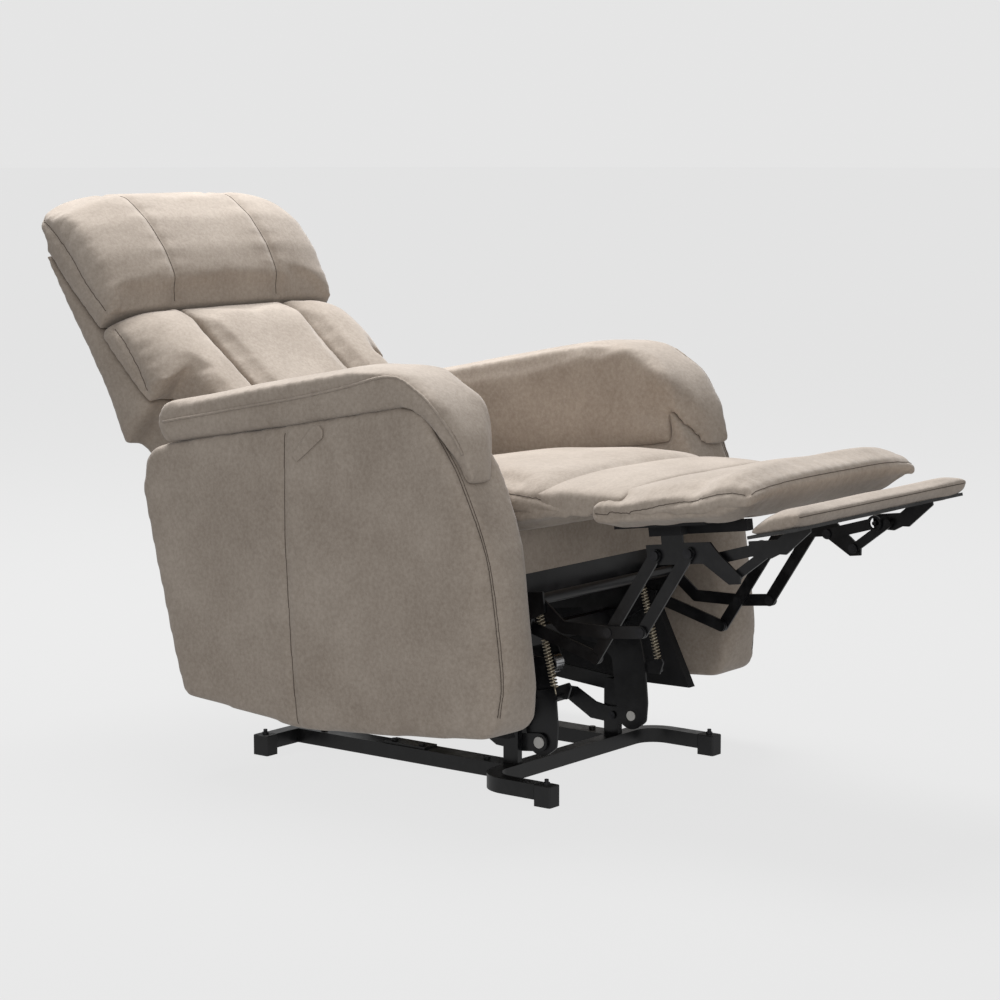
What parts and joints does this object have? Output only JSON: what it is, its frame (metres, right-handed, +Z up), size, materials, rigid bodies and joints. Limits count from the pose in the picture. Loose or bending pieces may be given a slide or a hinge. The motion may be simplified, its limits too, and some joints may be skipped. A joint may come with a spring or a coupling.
{
  "type": "lift recliner chair",
  "caption": "Upholstered power-lift recliner with padded arms, channel back, rolled headrest and a folding footrest on a steel scissor mechanism.",
  "frame": {"origin": "on the floor under the middle of the chair's outline", "axes": "+Z up, the chair faces -Y, X across the chair"},
  "size_m": [0.776, 1.5996, 0.9604],
  "materials": {
    "base_black": "satin",
    "mechanism_black": "satin",
    "zinc_steel": "satin",
    "pivot_steel": "satin",
    "chrome_rod": "polished",
    "nylon_white": "matte",
    "plastic_black": "matte",
    "foot_rubber": "matte",
    "frame_wood": "raw",
    "board_fabric_black": "matte",
    "flap_board_grey": "matte",
    "webbing": "matte",
    "upholstery": "brushed",
    "shell_fabric": "brushed"
  },
  "bodies": {
    "base": {"base_front_tube": "base_black", "base_rear_tube": "base_black", "base_feet": "foot_rubber", "foot_bolts": "pivot_steel", "base_side_rails": "base_black", "uprights": "mechanism_black", "lift_pivot_pins": "pivot_steel", "actuator_bracket": "mechanism_black"},
    "lift_crank": {"lift_crank": "mechanism_black"},
    "rear_lift_arm": {"rear_lift_arms": "mechanism_black"},
    "actuator_body": {"actuator_gearbox": "plastic_black", "actuator_sleeve": "zinc_steel", "actuator_motor": "plastic_black"},
    "actuator_rod": {"actuator_rod": "chrome_rod"},
    "chassis": {"lift_bushings": "nylon_white", "lift_plates": "mechanism_black", "lift_plate_bolts": "pivot_steel", "side_plates": "mechanism_black", "cross_tubes": "mechanism_black", "actuator_nose_bracket": "mechanism_black", "front_cross_rail": "mechanism_black", "rear_cross_rail": "mechanism_black", "seat_front_rail": "upholstery", "seat_rails": "frame_wood", "seat_webbing": "webbing", "back_hinge_brackets": "mechanism_black", "control_box": "plastic_black", "power_inlet": "plastic_black", "footrest_pivot_pins": "pivot_steel", "tension_springs": "zinc_steel", "seat_cushion": "upholstery", "left_arm_cover": "upholstery", "right_arm_cover": "upholstery", "left_arm_frame": "board_fabric_black", "right_arm_frame": "board_fabric_black", "left_arm_pad": "upholstery", "right_arm_pad": "upholstery"},
    "footrest": {"footrest_brackets": "mechanism_black", "footrest_bracket_pins": "pivot_steel", "footrest_rails": "board_fabric_black", "footrest_board": "board_fabric_black", "chaise_pad": "upholstery"},
    "c_links": {"c_links": "mechanism_black", "c_link_pins": "pivot_steel"},
    "a_links": {"a_links": "mechanism_black"},
    "b_links": {"b_links": "mechanism_black"},
    "d_links": {"d_links": "mechanism_black"},
    "flip_low": {"flip_low_links": "mechanism_black"},
    "flip_high": {"flip_high_links": "mechanism_black"},
    "flap": {"flap_brackets": "mechanism_black", "flap_board": "flap_board_grey", "flap_pad": "upholstery"},
    "backrest": {"back_frame": "frame_wood", "back_brackets": "mechanism_black", "back_shell": "shell_fabric", "back_center_pad": "upholstery", "left_back_side_pad": "upholstery", "right_back_side_pad": "upholstery", "headrest": "upholstery"},
    "pull_loop": {"pull_loop": "upholstery"}
  },
  "joints": [
    {"name": "crank_turn", "type": "hinge", "parent": "base", "child": "lift_crank", "pos_m": [0, -0.18353, 0.069], "axis": [1, 0, 0], "range_deg": [-26.39, 0]},
    {"name": "lift_tilt", "type": "hinge", "parent": "lift_crank", "child": "chassis", "pos_m": [0, -0.22653, 0.074], "axis": [1, 0, 0], "range_deg": [0, 58.39]},
    {"name": "rear_arm_turn", "type": "hinge", "parent": "base", "child": "rear_lift_arm", "pos_m": [0, -0.18923, 0.119], "axis": [1, 0, 0], "range_deg": [0, 37.91]},
    {"name": "actuator_swing", "type": "hinge", "parent": "base", "child": "actuator_body", "pos_m": [0, 0.26747, 0.062], "axis": [1, 0, 0], "range_deg": [-2.96, 0]},
    {"name": "actuator_stroke", "type": "slide", "parent": "actuator_body", "child": "actuator_rod", "axis": [0, -0.9639, 0.2662], "range_m": [0, 0.06777]},
    {"name": "footrest_fold", "type": "hinge", "parent": "chassis", "child": "footrest", "pos_m": [0, -0.34765, 0.46435], "axis": [1, 0, 0], "range_deg": [0, 90.47], "deforming": ["tension_springs"]},
    {"name": "c_link_turn", "type": "hinge", "parent": "chassis", "child": "c_links", "pos_m": [0, -0.26432, 0.32427], "axis": [1, 0, 0], "range_deg": [0, 91.92]},
    {"name": "a_link_turn", "type": "hinge", "parent": "c_links", "child": "a_links", "pos_m": [0, -0.40403, 0.28658], "axis": [1, 0, 0], "range_deg": [-96.27, 0]},
    {"name": "b_link_turn", "type": "hinge", "parent": "c_links", "child": "b_links", "pos_m": [0, -0.46669, 0.29332], "axis": [1, 0, 0], "range_deg": [-94.33, 0]},
    {"name": "d_link_turn", "type": "hinge", "parent": "chassis", "child": "d_links", "pos_m": [0, -0.23496, 0.27835], "axis": [1, 0, 0], "range_deg": [0, 90.53]},
    {"name": "flip_low_turn", "type": "hinge", "parent": "footrest", "child": "flip_low", "pos_m": [0, -0.63414, 0.39817], "axis": [1, 0, 0], "range_deg": [-47.33, 0]},
    {"name": "flip_high_turn", "type": "hinge", "parent": "footrest", "child": "flip_high", "pos_m": [0, -0.58775, 0.4188], "axis": [1, 0, 0], "range_deg": [-44.58, 0]},
    {"name": "flap_turn", "type": "hinge", "parent": "flip_low", "child": "flap", "pos_m": [0, -0.69605, 0.44506], "axis": [1, 0, 0], "range_deg": [0, 125.79]},
    {"name": "back_recline", "type": "hinge", "parent": "chassis", "child": "backrest", "pos_m": [0, 0.28011, 0.36314], "axis": [1, 0, 0], "range_deg": [0, 32]},
    {"name": "loop_pull", "type": "slide", "parent": "chassis", "child": "pull_loop", "axis": [0, -0.6686, 0.7436], "range_m": [0, 0.008]}
  ],
  "couplings": [
    {"joint": "lift_tilt", "follows": "crank_turn", "ratio": -2.2126},
    {"joint": "rear_arm_turn", "follows": "crank_turn", "ratio": -1.4365},
    {"joint": "actuator_swing", "follows": "crank_turn", "ratio": 0.11198},
    {"joint": "actuator_stroke", "follows": "crank_turn", "m_per_rad": -0.14714},
    {"joint": "c_link_turn", "follows": "footrest_fold", "ratio": 1.016},
    {"joint": "a_link_turn", "follows": "footrest_fold", "ratio": -1.0641},
    {"joint": "b_link_turn", "follows": "footrest_fold", "ratio": -1.0427},
    {"joint": "d_link_turn", "follows": "footrest_fold", "ratio": 1.0007},
    {"joint": "flip_low_turn", "follows": "footrest_fold", "ratio": -0.52316},
    {"joint": "flip_high_turn", "follows": "footrest_fold", "ratio": -0.49276},
    {"joint": "flap_turn", "follows": "footrest_fold", "ratio": 1.3904}
  ]
}
